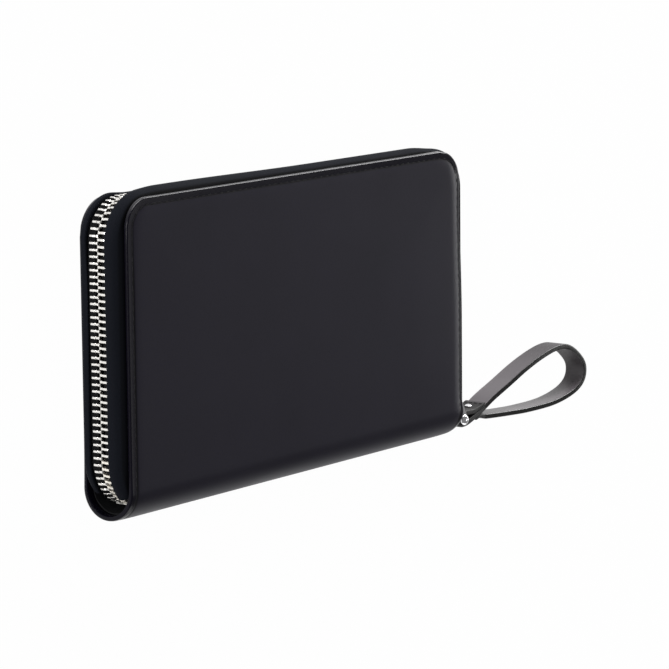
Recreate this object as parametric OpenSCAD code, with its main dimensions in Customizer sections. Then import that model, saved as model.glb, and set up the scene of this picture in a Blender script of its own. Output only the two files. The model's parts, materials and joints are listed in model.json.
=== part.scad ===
// Zip-around travel wallet with a wrist strap, lying on its back cover.
// X runs along the width, Y from the spine to the zip, Z up through the front cover.
// The origin is the middle of the back cover's outside face.

/* [Wallet] */
// Width of the covers along X
body_w = 235; // [200:1:260]
// Height of the covers from the spine to the top edge
body_h = 132; // [120:1:150]
// Thickness over both covers
thick = 27; // [26:0.5:30]
// Corner radius of the covers
corner_r = 13; // [10:0.5:16]

/* [Leather] */
// Thickness of a cover with its board
cover_t = 2.4; // [2.2:0.1:2.6]
// Width of the stitched border
border_w = 3.4; // [3:0.1:4]
// Drop of the border at the edge
border_drop = 2; // [1.6:0.1:2.1]
// Thickness of the stiffening boards
board_t = 1.1; // [0.8:0.1:1.3]
// Thickness of the linings
lining_t = 0.7; // [0.5:0.1:0.8]
// Thickness of the soft spine
spine_t = 1.7; // [1.5:0.1:1.8]
// Gap at the two folding lines of the spine
fold_gap = 0.3; // [0.3:0.05:0.6]

/* [Zip] */
// How far the zip stands out from the cover on the left
zip_left = 2.3; // [1.8:0.1:4]
// How far the zip sits below the cover edge at the top
zip_top = 1.4; // [0:0.1:1.8]
// How far the zip stands out from the cover on the right
zip_right = 0.8; // [0.8:0.1:1.5]
// Corner radius of the zip
zip_corner_r = 16.6; // [14:0.2:19]
// Radius of the tail that curls into the spine
tail_r = 20.6; // [19:0.2:21]
// Tooth spacing in one row
tooth_pitch = 2.75; // [2.7:0.05:3]
// Tooth size along the zip
tooth_t = 1.2; // [1:0.05:1.2]
// Half width of the closed chain
chain_half = 4.05; // [3.8:0.05:4.1]
// Half thickness of the chain
chain_deep = 1.4; // [1.2:0.05:1.5]
// How far a tooth head passes the middle
tooth_over = 1; // [0.7:0.05:1]
// Thickness of the tape
tape_t = 0.6; // [0.4:0.05:0.6]

/* [Bands] */
// Thickness of the band leather
band_t = 1.2; // [1:0.1:1.4]
// Height of the front band over the tape
band_rise = 3.9; // [3.6:0.1:4.2]
// Height of the back band, which lies flatter
back_rise = 1.6; // [1.6:0.1:4.2]
// Width of the flange under the cover
flange_w = 7.5; // [6.5:0.25:8.5]

/* [Slider] */
// Length of the slider
slider_l = 13; // [11:0.5:14]
// Thickness of the slider plates
plate_t = 1.2; // [1:0.1:1.2]
// Clearance of the slider round the chain
slide_gap = 0.3; // [0.25:0.05:0.35]
// Width of the yoke ears
ear_t = 0.8; // [0.7:0.1:1]

/* [Strap] */
// Width of the strap
strap_w = 11; // [10:0.25:12.5]
// Thickness of the strap
strap_t = 2.4; // [2:0.1:2.6]
// Length of the loop from the pin
strap_l = 106; // [92:1:120]
// Radius of the strap pin
pin_r = 1.2; // [1:0.05:1.3]
// Running clearance of the strap on its pin
pin_gap = 0.08; // [0.05:0.01:0.1]
// Radius of the domed pin head
dome_r = 2.5; // [2.2:0.1:2.6]

/* [Pockets] */
// Width of the pockets inside
pocket_w = 196; // [170:1:200]
// Height of the document pocket
document_h = 88; // [80:1:95]
// Width of the passport pocket
passport_w = 134; // [128:1:140]
// Height of the passport pocket
passport_h = 76; // [70:1:82]
// Height of the rear card panel
card_h = 84; // [76:1:90]
// Leather thickness of a pocket
pocket_t = 0.9; // [0.7:0.1:1]
// Room behind a card panel
card_room = 0.6; // [0.5:0.05:0.7]
// Step between two card panels
card_step = 11; // [8:0.5:13]
// Room behind the paper pockets
paper_room = 1.6; // [1.2:0.1:1.8]

/* [Hidden] */
$fn = 64;
seat = 0.05;
mid = thick / 2;
half_w = body_w / 2;
half_h = body_h / 2;
spine_y = -half_h + mid;
border_r = (border_w * border_w + border_drop * border_drop) / (2 * border_drop);
fold_a = 45;
fold_half = asin(fold_gap / 2 / (mid - cover_t));
pocket_low = spine_y + 8;

// Heights above the middle plane
under_cover = mid - cover_t;
band_top = under_cover - 0.1;
band_r = 4;
crest_z = band_top - band_r;
lip_in = 5.6;
lining_out = band_top - band_t - seat;
lining_in = lining_out - lining_t;

// Lines of the tape
tape_left = -half_w - zip_left;
tape_top = half_h - zip_top;
tape_right = half_w + zip_right;
turn_y = tape_top - zip_corner_r;
turn_left = tape_left + zip_corner_r;
turn_right = tape_right - zip_corner_r;
tail_x = tape_left + tail_r;
tail_y = -half_h + 25.5;
tail_a = 74;
band_tail_a = 42;
tape_in = 1.7;
tape_out = 7.3;
slot_half = tape_t / 2 + 0.1;

// Lengths along the zip, from its right end
slider_y = -half_h + 8.5;
first_y = slider_y + 4.9;
tape_end_y = slider_y - 3;
run_right = turn_y - first_y;
run_turn = zip_corner_r * PI / 2;
run_top = turn_right - turn_left;
run_left = turn_y - tail_y;
s_turn_1 = run_right;
s_top = s_turn_1 + run_turn;
s_turn_2 = s_top + run_top;
s_left = s_turn_2 + run_turn;
s_tail = s_left + run_left;
s_end = s_tail + tail_r * tail_a * PI / 180;
s_home = slider_y + slider_l + 1 - first_y;
last_tooth = floor((s_end - 4) / tooth_pitch);

// Strap pin and loop
pin_x = half_w + 10.6;
pin_y = -half_h + 5.15;
ear_in = strap_w / 2 + 0.35;
wrap_r = pin_r + pin_gap;
bar_in = tape_right - pin_x + band_rise + 0.5;
bar_low = slider_y + 3.5 - pin_y;
k = strap_l / 106;
rivet_x = 12.4 * k;
rivet_y = 1.55;
rivet_r = 1.7;
rivet_reach = 1.45 + strap_t / 2;
loop = [
  for (p = [
    [0.4, 2.45], [6, 2.6], [12.7, 3], [20.8, 4], [26.9, 6.6], [39.6, 11.1], [53.8, 16.3],
    [68, 20.4], [80.4, 22.6], [89.7, 21.9], [98.2, 17.4], [104.2, 11.1], [103.1, 4.2],
    [94.8, -0.5], [78.2, -3.4], [56.7, -3.7], [39.6, -2.9], [21, -1.6], [12.1, 0.1],
    [6.4, -2.4], [0.4, -2.5]
  ]) [p[0] * k, p[1]]
];

function bend(a, b, c, d, t) =
  0.5 * (2 * b + (c - a) * t + (2 * a - 5 * b + 4 * c - d) * t * t
  + (3 * b - a - 3 * c + d) * t * t * t);
function loop_at(i) = loop[max(0, min(len(loop) - 1, i))];
function loop_line(n) = [
  for (i = [0 : len(loop) - 2])
    for (j = [0 : n - 1])
      bend(loop_at(i - 1), loop_at(i), loop_at(i + 1), loop_at(i + 2), j / n),
  loop[len(loop) - 1]
];
function side(pts, i) =
  let (a = pts[max(0, i - 1)], b = pts[min(len(pts) - 1, i + 1)], d = b - a)
  [-d[1], d[0]] / norm(d);
function beside(pts, w) = [for (i = [0 : len(pts) - 1]) pts[i] + side(pts, i) * w];
function flipped(pts) = [for (i = [len(pts) - 1 : -1 : 0]) pts[i]];

// Place on the zip at length s from its right end: x, y and the direction that faces out
function on_zip(s) =
  s < s_turn_1 ? [tape_right, first_y + s, 0] :
  s < s_top ? turn_at(turn_right, turn_y, zip_corner_r, (s - s_turn_1) / zip_corner_r * 180 / PI) :
  s < s_turn_2 ? [turn_right - (s - s_top), tape_top, 90] :
  s < s_left ? turn_at(turn_left, turn_y, zip_corner_r, 90 + (s - s_turn_2) / zip_corner_r * 180 / PI) :
  s < s_tail ? [tape_left, turn_y - (s - s_left), 180] :
  turn_at(tail_x, tail_y, tail_r, 180 + (s - s_tail) / tail_r * 180 / PI);
function turn_at(x, y, r, a) = [x + r * cos(a), y + r * sin(a), a];

module flip() {
  translate([0, 0, thick]) mirror([0, 0, 1]) children();
}

module rounded(w, h, r) {
  translate([r, 0]) square([w - 2 * r, h]);
  translate([0, r]) square([w, h - 2 * r]);
  for (x = [r, w - r])
    for (y = [r, h - r])
      translate([x, y]) circle(r);
}

// Border of a cover in section, with its edge at zero
module edge_section(l) {
  translate([-l, 0]) square([l - border_w, cover_t]);
  intersection() {
    translate([-border_w, 0]) square([border_w, cover_t]);
    translate([-border_w, cover_t - border_r]) circle(border_r);
  }
}

module cover_section() {
  translate([half_w, 0]) edge_section(half_w);
  mirror([1, 0]) translate([half_w, 0]) edge_section(half_w);
}

// Cover wrapped round the spine, angles from the back
module spine_arc(from, to) {
  translate([0, spine_y, mid])
    rotate([0, 90, 0])
      rotate([0, 0, -to])
        rotate_extrude(angle = to - from)
          translate([mid - cover_t, 0]) mirror([1, 0]) rotate(90) cover_section();
}

module cover_panel() {
  translate([0, half_h - corner_r, mid + under_cover])
    rotate([90, 0, 0]) linear_extrude(half_h - corner_r - spine_y) cover_section();
  translate([-half_w + corner_r, half_h, mid + under_cover])
    rotate([90, 0, 90]) linear_extrude(body_w - 2 * corner_r) edge_section(corner_r);
  for (a = [0, 1])
    mirror([a, 0, 0])
      translate([half_w - corner_r, half_h - corner_r, mid + under_cover])
        rotate_extrude(angle = 90) intersection() {
          translate([corner_r, 0]) edge_section(corner_r);
          square([corner_r, cover_t]);
        }
}

module board_shape(gap, t) {
  in = border_w + 0.6 - gap;
  translate([-half_w + in, spine_y + 1 - gap, mid + under_cover])
    linear_extrude(t) rounded(body_w - 2 * in, body_h - mid - 1 - in + gap, corner_r - border_w);
}

module half_cover() {
  difference() {
    union() {
      cover_panel();
      spine_arc(180 - fold_a + fold_half, 180);
    }
    translate([0, 0, -0.2]) board_shape(0.1, board_t + 0.2 + seat);
  }
}

module half_board() {
  board_shape(0, board_t);
}

module half_lining() {
  in = 3.5;
  translate([-half_w + in, spine_y, mid + lining_in])
    linear_extrude(lining_t) rounded(body_w - 2 * in, body_h - mid - 4, corner_r - 1);
}

// Band of leather beside the zip: crest, lip on the tape and flange under the cover
module band_section(rise) {
  band_mid = rise - band_r;
  intersection() {
    translate([band_mid, crest_z]) difference() {
      circle(band_r);
      circle(band_r - band_t);
    }
    translate([band_mid, crest_z]) square(band_r + 1);
  }
  translate([tape_t / 2 + seat, lip_in]) square([rise - band_t / 2 - tape_t / 2 - seat, band_t]);
  translate([rise - band_t / 2, lip_in + band_t / 2]) circle(band_t / 2);
  translate([rise - band_t, lip_in + band_t / 2]) square([band_t, crest_z - lip_in - band_t / 2]);
  translate([-flange_w, band_top - band_t]) square([flange_w + band_mid, band_t]);
}

module tape_section(out) {
  translate([-tape_t / 2, tape_in]) square([tape_t, out - tape_in]);
}

module run(l) {
  rotate([90, 0, 0]) linear_extrude(l, center = true) children();
}

module turn(r, a) {
  rotate_extrude(angle = a) translate([r, 0]) children();
}

// A section carried round the three sides, down to low_y on the right
module round_zip(low_y) {
  translate([tape_right, (turn_y + low_y) / 2, mid]) run(turn_y - low_y) children();
  translate([turn_right, turn_y, mid]) turn(zip_corner_r, 90) children();
  translate([(turn_left + turn_right) / 2, tape_top, mid]) rotate(90) run(run_top) children();
  translate([turn_left, turn_y, mid]) rotate(90) turn(zip_corner_r, 90) children();
  translate([tape_left, (turn_y + tail_y) / 2, mid]) rotate(180) run(run_left) children();
}

module tail_turn(from, to) {
  translate([tail_x, tail_y, mid]) rotate(180 + from) turn(tail_r, to - from) children();
}

module half_band(rise) {
  round_zip(spine_y) band_section(rise);
  tail_turn(0, band_tail_a) band_section(rise);
}

// One metal tooth: a head that meshes and two legs that grip the tape
module tooth() {
  head = chain_deep - 0.3;
  rotate([90, 0, 0]) linear_extrude(tooth_t, center = true)
    polygon([
      [-0.6, -tooth_over], [0.6, -tooth_over], [head, -tooth_over + 0.5], [head, 1.2],
      [chain_deep, 1.6], [chain_deep, chain_half - 0.45], [chain_deep - 0.45, chain_half],
      [slot_half, chain_half], [slot_half, 1.5], [-slot_half, 1.5], [-slot_half, chain_half],
      [0.45 - chain_deep, chain_half], [-chain_deep, chain_half - 0.45], [-chain_deep, 1.6],
      [-head, 1.2], [-head, -tooth_over + 0.5]
    ]);
}

module teeth(from, to, shift) {
  for (i = [0 : last_tooth]) {
    s = (i + shift) * tooth_pitch;
    if (s >= from && s < to)
      translate([on_zip(s)[0], on_zip(s)[1], mid])
        rotate(on_zip(s)[2])
          mirror([0, 0, shift == 0 ? 1 : 0]) tooth();
  }
}

module pocket(x, y, w, h, room) {
  translate([x, y, 0]) difference() {
    linear_extrude(room + pocket_t) rounded(w, h, 3);
    translate([2.5, 2.5, -1]) cube([w - 5, h, room + 1]);
  }
}

// Card panel with a seam down the middle, counted from the lining
module card_panel(i) {
  step = card_room + pocket_t + seat;
  translate([0, 0, thick - (mid + lining_in) + seat + step * (i - 1)]) {
    pocket(-pocket_w / 2, pocket_low, pocket_w, card_h - card_step * (i - 1), card_room);
    translate([-1, pocket_low + 1, 0]) cube([2, card_h - 4 - card_step * (i - 1), card_room + 0.1]);
  }
}

module back_cover() {
  color([0.16, 0.16, 0.18]) flip() half_cover();
}

module front_cover() {
  color([0.16, 0.16, 0.18]) half_cover();
}

module spine_cover() {
  color([0.16, 0.16, 0.18]) difference() {
    spine_arc(fold_a + fold_half, 180 - fold_a - fold_half);
    translate([-half_w - 1, spine_y, mid]) rotate([0, 90, 0]) cylinder(r = mid - spine_t, h = body_w + 2);
  }
}

module spine_lining() {
  color([0.12, 0.12, 0.13]) translate([0, spine_y, mid])
    rotate([0, 90, 0]) rotate([0, 0, fold_a - 179]) rotate_extrude(angle = 178 - 2 * fold_a)
      translate([mid - cover_t, -half_w + 4]) square([cover_t - spine_t - seat, body_w - 8]);
}

module back_board() {
  color([0.5, 0.45, 0.4]) flip() half_board();
}

module front_board() {
  color([0.5, 0.45, 0.4]) half_board();
}

module back_lining() {
  color([0.12, 0.12, 0.13]) flip() half_lining();
}

module front_lining() {
  color([0.12, 0.12, 0.13]) half_lining();
}

module back_zip_band() {
  color([0.13, 0.13, 0.15]) flip() half_band(back_rise);
}

module front_zip_band() {
  color([0.13, 0.13, 0.15]) half_band(band_rise);
}

module back_zip_tape() {
  color([0.05, 0.05, 0.06]) flip() {
    round_zip(tape_end_y) tape_section(tape_out);
    tail_turn(0, tail_a) tape_section(5.4);
  }
}

module front_zip_tape() {
  color([0.05, 0.05, 0.06]) round_zip(tape_end_y) tape_section(tape_out);
}

module tail_tape() {
  color([0.05, 0.05, 0.06]) tail_turn(1.5, tail_a) tape_section(5.4);
}

module back_zip_teeth() {
  color([0.85, 0.85, 0.86]) teeth(s_turn_1, s_end, 0);
}

module back_side_teeth() {
  color([0.85, 0.85, 0.86]) teeth(0, s_turn_1, 0);
}

module slider_teeth() {
  color([0.85, 0.85, 0.86]) teeth(0, s_home, 0.5);
}

module front_side_teeth() {
  color([0.85, 0.85, 0.86]) teeth(s_home, s_turn_1, 0.5);
}

module front_zip_teeth() {
  color([0.85, 0.85, 0.86]) teeth(s_turn_1, s_tail - 1, 0.5);
}

module tail_teeth() {
  color([0.85, 0.85, 0.86]) teeth(s_tail - 1, s_end, 0.5);
}

// Clamp across both tapes at the tail and one clamp below the slider
module zip_stops() {
  color([0.85, 0.85, 0.86]) {
    translate([on_zip(s_end - 1.6)[0], on_zip(s_end - 1.6)[1], mid])
      rotate(on_zip(s_end - 1.6)[2]) stop_clamp(-chain_half, chain_half);
    translate([tape_right, slider_y - 1.6, mid]) stop_clamp(-chain_half, -1.2);
  }
}

module stop_clamp(from, to) {
  difference() {
    translate([-chain_deep, -0.9, from]) cube([2 * chain_deep, 1.8, to - from]);
    translate([-slot_half, -2, from - 1]) cube([2 * slot_half, 4, -1.5 - from + 1]);
    if (to > 2)
      translate([-slot_half, -2, 1.5]) cube([2 * slot_half, 4, to]);
  }
}

module document_pocket() {
  color([0.14, 0.14, 0.16]) translate([0, 0, mid - lining_in + seat])
    pocket(-pocket_w / 2, pocket_low, pocket_w, document_h, paper_room);
}

module passport_pocket() {
  color([0.15, 0.15, 0.17])
    translate([0, 0, mid - lining_in + paper_room + pocket_t + 2 * seat])
      pocket(-pocket_w / 2, pocket_low, passport_w, passport_h, paper_room);
}

module card_panel_1() {
  color([0.15, 0.15, 0.17]) flip() card_panel(1);
}

module card_panel_2() {
  color([0.15, 0.15, 0.17]) flip() card_panel(2);
}

module card_panel_3() {
  color([0.15, 0.15, 0.17]) flip() card_panel(3);
}

module card_panel_4() {
  color([0.15, 0.15, 0.17]) flip() card_panel(4);
}

// Slider with two plates, side walls, a wedge between the rows and a yoke for the strap
module zip_slider() {
  in = chain_deep + slide_gap;
  wide = chain_half + slide_gap + 0.9;
  color([0.82, 0.82, 0.84]) translate([tape_right, slider_y, mid]) {
    for (s = [0, 1])
      mirror([s, 0, 0]) {
        translate([in, 0, 0]) rotate([90, 0, 90]) linear_extrude(plate_t)
          polygon([
            [0, -wide + 1], [1, -wide], [slider_l - 3, -wide], [slider_l, -wide + 1.6],
            [slider_l, wide - 1.6], [slider_l - 3, wide], [1, wide], [0, wide - 1]
          ]);
        for (t = [0, 1])
          mirror([0, 0, t])
            translate([tape_t / 2 + slide_gap, 1, wide - 0.9])
              cube([in - tape_t / 2 - slide_gap + 0.2, slider_l - 4, 0.9]);
      }
    rotate([90, 0, 90]) translate([0, 0, -in - 0.2]) linear_extrude(2 * in + 0.4)
      polygon([[0, -1.1], [2.4, -1.1], [3.7, 0], [2.4, 1.1], [0, 1.1]]);
    translate([in + plate_t - 0.2, 3.5, -2.5]) cube([band_rise + 0.9 - in - plate_t, 5, 5]);
    translate([band_rise + 0.5, 3.5, -ear_in - ear_t]) cube([1.8, 5, 2 * (ear_in + ear_t)]);
  }
  color([0.82, 0.82, 0.84]) translate([pin_x, pin_y, mid])
    for (t = [0, 1])
      mirror([0, 0, t]) translate([0, 0, ear_in]) linear_extrude(ear_t) difference() {
        union() {
          circle(2.4);
          polygon([
            [bar_in, bar_low], [bar_in, bar_low + 5], [bar_in + 1.9, bar_low + 5], [2.1, 1.1],
            [-1.9, -1.4]
          ]);
        }
        circle(pin_r + 0.02);
      }
}

// Screw pin with a domed head on the front ear and a flat one on the back ear
module strap_pin() {
  h = ear_in + ear_t;
  cap = 1.5;
  big = (dome_r * dome_r + cap * cap) / (2 * cap);
  color([0.88, 0.88, 0.9]) translate([pin_x, pin_y, mid]) {
    translate([0, 0, -h - 0.4]) cylinder(r = pin_r, h = 2 * h + 0.8);
    translate([0, 0, h + seat]) intersection() {
      translate([0, 0, cap - big]) sphere(big);
      cylinder(r = dome_r + 1, h = cap + 1);
    }
    translate([0, 0, -h - seat - 0.8]) cylinder(r = dome_r - 0.3, h = 0.8);
  }
}

// Strap loop: wraps the pin, comes together at the rivet and opens into the loop
module wrist_strap() {
  line = loop_line(6);
  wrap = wrap_r + strap_t;
  color([0.2, 0.2, 0.22]) translate([pin_x, pin_y, mid - strap_w / 2]) difference() {
    union() {
      linear_extrude(strap_w)
        polygon(concat(beside(line, strap_t / 2), flipped(beside(line, -strap_t / 2))));
      intersection() {
        cylinder(r = wrap, h = strap_w);
        translate([-wrap - 1, -wrap - 1, 0]) cube([wrap + 2.2, 2 * wrap + 2, strap_w]);
      }
      translate([rivet_x - 1.9, rivet_y - 1, 0]) cube([3.8, 2, strap_w]);
    }
    translate([0, 0, -1]) cylinder(r = wrap_r, h = strap_w + 2);
    translate([rivet_x, rivet_y, strap_w / 2]) rotate([90, 0, 0]) {
      cylinder(r = 1.02, h = 12, center = true);
      for (t = [0, 1])
        mirror([0, 0, t]) translate([0, 0, rivet_reach]) cylinder(r = rivet_r + 0.1, h = 3);
    }
  }
}

module strap_rivet() {
  cap = 0.7;
  big = (rivet_r * rivet_r + cap * cap) / (2 * cap);
  color([0.88, 0.88, 0.9]) translate([pin_x + rivet_x, pin_y + rivet_y, mid]) rotate([90, 0, 0]) {
    cylinder(r = 1, h = 2 * rivet_reach + 0.4, center = true);
    for (t = [0, 1])
      mirror([0, 0, t]) translate([0, 0, rivet_reach + seat]) intersection() {
        translate([0, 0, cap - big]) sphere(big);
        cylinder(r = rivet_r + 1, h = cap + 1);
      }
  }
}

back_cover();
back_board();
back_lining();
back_zip_band();
back_zip_tape();
back_zip_teeth();
back_side_teeth();
tail_teeth();
tail_tape();
slider_teeth();
zip_stops();
document_pocket();
passport_pocket();
spine_cover();
spine_lining();
front_cover();
front_board();
front_lining();
front_zip_band();
front_zip_tape();
front_zip_teeth();
front_side_teeth();
card_panel_1();
card_panel_2();
card_panel_3();
card_panel_4();
zip_slider();
strap_pin();
wrist_strap();
strap_rivet();
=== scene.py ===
import json
import math
import bmesh
import bpy
import numpy as np
from mathutils import Matrix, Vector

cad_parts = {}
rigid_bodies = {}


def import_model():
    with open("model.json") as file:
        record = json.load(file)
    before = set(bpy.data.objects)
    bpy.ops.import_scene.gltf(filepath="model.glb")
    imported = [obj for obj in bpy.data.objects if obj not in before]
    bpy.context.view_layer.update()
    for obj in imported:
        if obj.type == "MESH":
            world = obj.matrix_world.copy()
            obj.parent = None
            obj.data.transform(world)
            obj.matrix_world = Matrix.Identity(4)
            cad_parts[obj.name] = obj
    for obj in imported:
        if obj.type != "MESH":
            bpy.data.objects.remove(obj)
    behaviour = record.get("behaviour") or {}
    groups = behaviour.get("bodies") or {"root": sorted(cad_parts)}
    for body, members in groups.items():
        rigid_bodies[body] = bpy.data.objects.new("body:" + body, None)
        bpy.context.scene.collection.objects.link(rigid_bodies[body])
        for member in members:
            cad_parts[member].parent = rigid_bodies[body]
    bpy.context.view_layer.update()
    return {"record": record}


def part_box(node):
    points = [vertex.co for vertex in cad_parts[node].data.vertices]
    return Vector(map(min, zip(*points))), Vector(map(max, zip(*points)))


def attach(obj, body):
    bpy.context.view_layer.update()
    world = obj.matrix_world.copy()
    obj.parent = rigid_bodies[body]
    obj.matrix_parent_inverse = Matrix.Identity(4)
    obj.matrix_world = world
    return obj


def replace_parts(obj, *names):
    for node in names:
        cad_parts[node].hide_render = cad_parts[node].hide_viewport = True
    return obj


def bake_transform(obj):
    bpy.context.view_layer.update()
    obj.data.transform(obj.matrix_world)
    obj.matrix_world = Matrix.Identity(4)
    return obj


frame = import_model()
bpy.context.scene.view_settings.view_transform = "Standard"
mm = 0.001

# the wallet's own sizes, in millimetres
wallet = dict(width=235, height=132, thick=27, cornerR=13)
halfW = wallet["width"] / 2
halfH = wallet["height"] / 2
midZ = wallet["thick"] / 2
spineY = -halfH + midZ


def smooth(a, b, x):
    t = np.clip((np.asarray(x, float) - a) / (b - a), 0, 1)  # soft step from a to b
    return t * t * (3 - 2 * t)


def gridFaces(rows, cols, wrapCols=False):
    # four corners of each cell of a rows x cols grid, with the last column joined to the first where asked
    across = np.arange(cols - (not wrapCols))
    i, j = (g.ravel() for g in np.meshgrid(np.arange(rows - 1), across, indexing="ij"))
    i2, j2 = i + 1, (j + 1) % cols
    return np.stack([i * cols + j, i * cols + j2, i2 * cols + j2, i2 * cols + j], 1)


def putMesh(name, verts, faces, sharp=50, marks=None):
    # marks are values on the points that a material reads by name
    mesh = bpy.data.meshes.new(name)
    mesh.from_pydata((np.asarray(verts) * mm).tolist(), [], [list(map(int, f)) for f in faces])
    for label, values in (marks or {}).items():
        layer = mesh.attributes.new(label, "FLOAT", "POINT")
        layer.data.foreach_set("value", np.asarray(values, np.float32).ravel())
    bm = bmesh.new()
    bm.from_mesh(mesh)
    bmesh.ops.recalc_face_normals(bm, faces=bm.faces)
    bm.to_mesh(mesh)
    bm.free()
    mesh.polygons.foreach_set("use_smooth", np.ones(len(mesh.polygons), bool))
    mesh.set_sharp_from_angle(angle=math.radians(sharp))
    obj = bpy.data.objects.new(name, mesh)
    bpy.context.scene.collection.objects.link(obj)
    return obj


def dress(obj, material, body=None):
    obj.data.materials.clear()
    obj.data.materials.append(material)
    if body:
        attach(obj, body)
    return obj


def standAt(obj, right, up, back, place):
    # set an object's three axes and its place
    m = Matrix.Identity(4)
    for k, axis in enumerate((right, up, back, place)):
        for row in range(3):
            m[row][k] = axis[row]
    obj.matrix_world = m
    bpy.context.scene.collection.objects.link(obj)


# camera: where the photographer stood, in degrees, millimetres and pixels of a 669 wide picture
view = dict(
    turn=53.128, rise=8.941, roll=-0.558,
    away=1502.759, across=22.09, upward=-4.597, aimZ=14,
    focus=3490.135, picture=669, sensor=36,
)


def placeCamera(v):
    # the camera stands away along its own back axis, turned round Y, raised and rolled
    turn, rise, roll = (math.radians(v[k]) for k in ("turn", "rise", "roll"))
    level = math.cos(rise)
    back = np.array([-math.sin(turn) * level, math.sin(rise), math.cos(turn) * level])
    right0 = np.array([math.cos(turn), 0, math.sin(turn)])
    up0 = np.cross(back, right0)
    right = right0 * math.cos(roll) + up0 * math.sin(roll)
    up = up0 * math.cos(roll) - right0 * math.sin(roll)
    place = back * v["away"] + right * v["across"] + up * v["upward"] + [0, 0, v["aimZ"]]
    data = bpy.data.cameras.new("camera")
    data.sensor_width = v["sensor"]
    data.lens = v["focus"] / v["picture"] * v["sensor"]
    data.clip_end = 20
    cam = bpy.data.objects.new("camera", data)
    standAt(cam, right, up, back, place * mm)
    bpy.context.scene.camera = cam


placeCamera(view)
print("camera placed")


def newGroup(name, inputs, outputs):
    g = bpy.data.node_groups.new(name, "ShaderNodeTree")
    for label, kind, value in inputs:
        s = g.interface.new_socket(label, in_out="INPUT", socket_type=kind)
        s.default_value = value
    for label, kind in outputs:
        g.interface.new_socket(label, in_out="OUTPUT", socket_type=kind)
    return g, g.nodes.new("NodeGroupInput"), g.nodes.new("NodeGroupOutput")


def plug(tree, value, socket):
    if isinstance(value, (int, float)):
        socket.default_value = value
    elif isinstance(value, tuple):
        socket.default_value = (*value, 1)
    else:
        tree.links.new(value, socket)


def mathNode(tree, op, *values):
    n = tree.nodes.new("ShaderNodeMath")
    n.operation = op
    for k, v in enumerate(values):
        plug(tree, v, n.inputs[k])
    return n.outputs[0]


def spread(tree, value, lo, hi, outLo, outHi):
    n = tree.nodes.new("ShaderNodeMapRange")
    for label, v in (("From Min", lo), ("From Max", hi), ("To Min", outLo), ("To Max", outHi)):
        n.inputs[label].default_value = v
    tree.links.new(value, n.inputs["Value"])
    return n.outputs["Result"]


def noiseAt(tree, place, scale, detail, rough):
    n = tree.nodes.new("ShaderNodeTexNoise")
    n.inputs["Detail"].default_value = detail
    n.inputs["Roughness"].default_value = rough
    tree.links.new(place, n.inputs["Vector"])
    plug(tree, scale, n.inputs["Scale"])
    return n.outputs["Fac"]


usualNoise = (0.3, 0.7)  # most values of a noise lie between these

# leather: grain and marks that every hide shares, painted shade among them, with scales per metre and depths
# in metres
hide = dict(
    cells=1400.0, smoothness=0.6, pebbleTop=0.8, pebble=0.6, fine=0.4, fineScale=3200, cloudScale=26,
    poreAt=(0.45, 0.9), poreTone=-0.25, cloudTone=0.8, glossBelow=0.03, glossAbove=0.04,
    shadeTone=0.2, shadeDull=0.35, rimCoat=0.75, rimRough=0.2, bump=0.25, depth=0.00006,
)


def makeGrain():
    # fine pebbles from cell distances, broken up by noise, plus slow cloudy tone and pores
    g, gin, gout = newGroup(
        "leatherGrain",
        [("Place", "NodeSocketVector", (0, 0, 0)), ("Cells", "NodeSocketFloat", hide["cells"])],
        [("Height", "NodeSocketFloat"), ("Cloud", "NodeSocketFloat"), ("Pore", "NodeSocketFloat")],
    )
    cells = g.nodes.new("ShaderNodeTexVoronoi")
    cells.feature = "SMOOTH_F1"
    cells.inputs["Smoothness"].default_value = hide["smoothness"]
    g.links.new(gin.outputs["Place"], cells.inputs["Vector"])
    g.links.new(gin.outputs["Cells"], cells.inputs["Scale"])
    fine = noiseAt(g, gin.outputs["Place"], hide["fineScale"], detail=3, rough=0.6)
    broad = noiseAt(g, gin.outputs["Place"], hide["cloudScale"], detail=3, rough=0.55)
    pebble = mathNode(g, "SUBTRACT", hide["pebbleTop"], cells.outputs["Distance"])
    pebble = mathNode(g, "MULTIPLY", pebble, hide["pebble"])
    height = mathNode(g, "ADD", pebble, mathNode(g, "MULTIPLY", fine, hide["fine"]))
    g.links.new(height, gout.inputs["Height"])
    g.links.new(broad, gout.inputs["Cloud"])
    g.links.new(spread(g, cells.outputs["Distance"], *hide["poreAt"], 0, 1), gout.inputs["Pore"])
    return g


leatherGrain = makeGrain()


def newMaterial(name):
    m = bpy.data.materials.new(name)
    m.use_nodes = True
    m.node_tree.nodes.clear()
    out = m.node_tree.nodes.new("ShaderNodeOutputMaterial")
    shader = m.node_tree.nodes.new("ShaderNodeBsdfPrincipled")
    m.node_tree.links.new(shader.outputs[0], out.inputs["Surface"])
    place = m.node_tree.nodes.new("ShaderNodeTexCoord")
    return m, m.node_tree, shader, place


def twoTone(tree, factor, dark, light):
    n = tree.nodes.new("ShaderNodeMix")
    n.data_type = "RGBA"
    plug(tree, dark, n.inputs["A"])
    plug(tree, light, n.inputs["B"])
    plug(tree, factor, n.inputs["Factor"])
    return n.outputs["Result"]


def markOf(tree, label):
    n = tree.nodes.new("ShaderNodeAttribute")
    n.attribute_name = label
    return n.outputs["Fac"]


def bumpFrom(tree, height, strength, distance, shader):
    n = tree.nodes.new("ShaderNodeBump")
    n.inputs["Strength"].default_value = strength
    n.inputs["Distance"].default_value = distance
    tree.links.new(height, n.inputs["Height"])
    tree.links.new(n.outputs["Normal"], shader.inputs["Normal"])


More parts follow.
